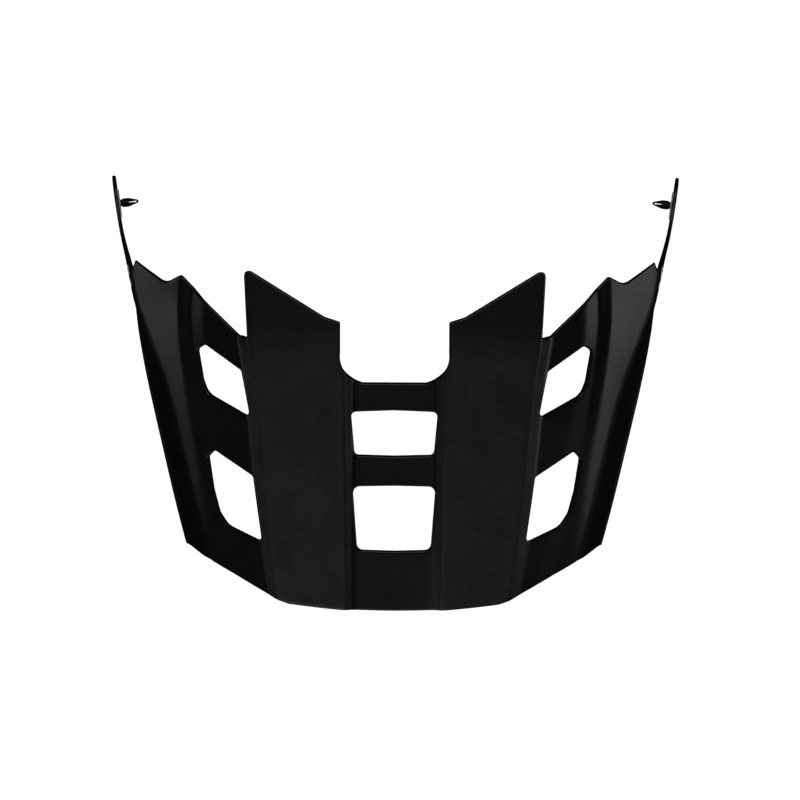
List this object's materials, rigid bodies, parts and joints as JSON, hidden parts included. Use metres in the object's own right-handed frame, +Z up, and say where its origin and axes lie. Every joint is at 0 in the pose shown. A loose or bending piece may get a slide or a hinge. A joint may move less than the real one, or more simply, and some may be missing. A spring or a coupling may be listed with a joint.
{
  "type": "helmet visor",
  "caption": "Mountain-bike helmet peak with raised ribs, vent windows, wings and two thin arms that snap to the helmet's sides with split pins.",
  "frame": {"origin": "middle of the visor's footprint, on the floor that its two front corners and two arm ends stand on", "axes": "+Z up through the crown of the brim, +X to the side across the two arms, -Y towards the front edge of the brim and +Y along the arms"},
  "size_m": [0.215, 0.1654, 0.0655],
  "materials": {
    "shell": "fine moulded texture, satin black",
    "pin": "smooth moulded nylon, satin black",
    "washer": "smooth, pale grey"
  },
  "bodies": {
    "visor": {"visor_shell": "shell", "left_washer": "washer", "right_washer": "washer"},
    "left_pin": {"left_pin": "pin"},
    "right_pin": {"right_pin": "pin"}
  },
  "joints": [
    {"name": "left_swivel", "type": "hinge", "parent": "visor", "child": "left_pin", "pos_m": [-0.10625, 0.0716, 0.008], "axis": [0.9905, 0.1305, -0.0432], "continuous": true},
    {"name": "right_swivel", "type": "hinge", "parent": "visor", "child": "right_pin", "pos_m": [0.10625, 0.0716, 0.008], "axis": [-0.9905, 0.1305, -0.0432], "continuous": true}
  ]
}
